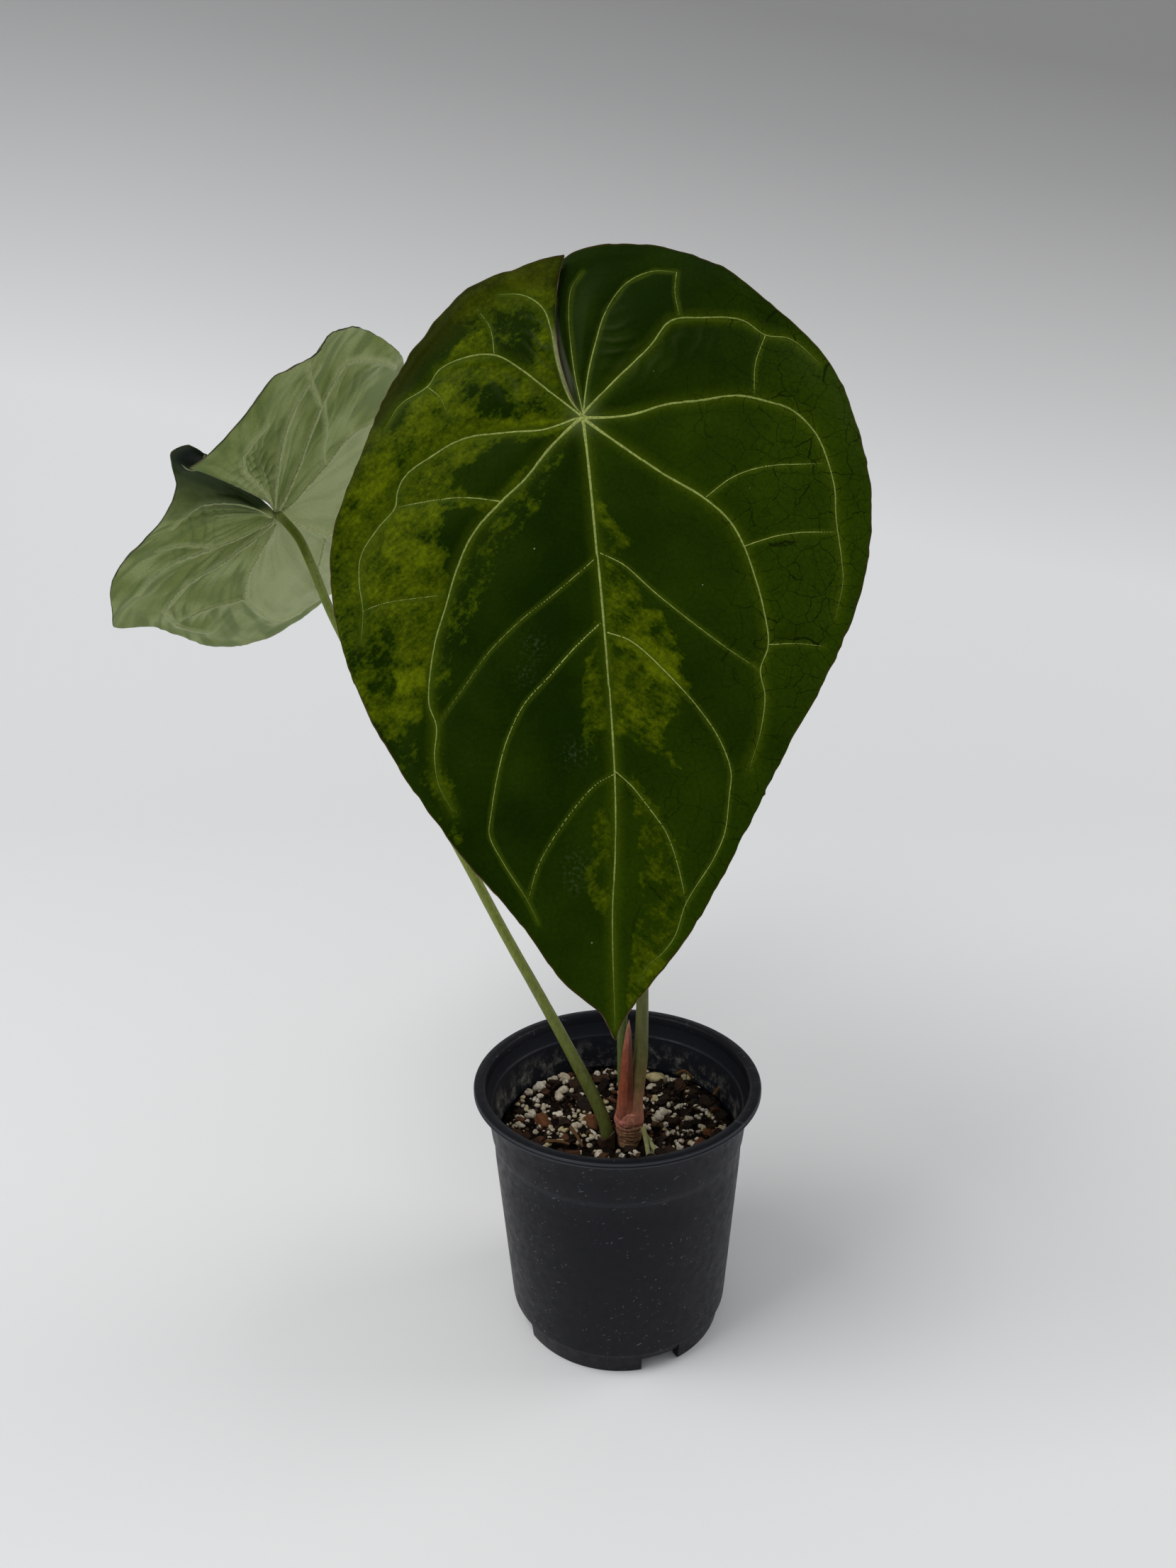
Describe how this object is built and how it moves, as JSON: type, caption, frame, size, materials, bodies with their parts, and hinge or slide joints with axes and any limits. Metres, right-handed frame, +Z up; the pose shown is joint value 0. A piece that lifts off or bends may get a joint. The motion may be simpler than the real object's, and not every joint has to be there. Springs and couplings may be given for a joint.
{
  "type": "potted anthurium",
  "caption": "Anthurium with large heart-shaped, yellow-mottled leaves on long bent stalks, growing in a black plastic nursery pot of bark and perlite mix.",
  "frame": {"origin": "on the surface that the pot stands on, under the pot's axis", "axes": "+Z up; -Y to the front, the side that the large front leaf faces; +X to the right seen from the front"},
  "size_m": [0.2802, 0.3171, 0.3933],
  "materials": {
    "pot_plastic": "semi-matt charcoal black, with pale scuffs and mineral marks",
    "potting_mix": "rough dark bark mix with white perlite",
    "stem_skin": "matt pinkish tan, ringed",
    "root_skin": "smooth pale yellow-green",
    "cataphyll_skin": "papery rust red",
    "old_sheath_skin": "dry dark brown",
    "stalk_skin": "smooth satin olive green",
    "leaf_upper": "satin deep green with pale veins and yellow-green mottling",
    "leaf_under": "matt pale grey-green with raised veins"
  },
  "bodies": {
    "root": {"pot": "pot_plastic", "soil": "potting_mix", "stem": "stem_skin", "aerial_root_long": "root_skin", "aerial_root_short": "root_skin", "old_sheath": "old_sheath_skin", "cataphyll": "cataphyll_skin", "new_leaf": "stalk_skin", "petiole_front": "stalk_skin", "petiole_back": "stalk_skin", "leaf_front": "leaf_upper", "leaf_back": "leaf_under"}
  },
  "joints": []
}
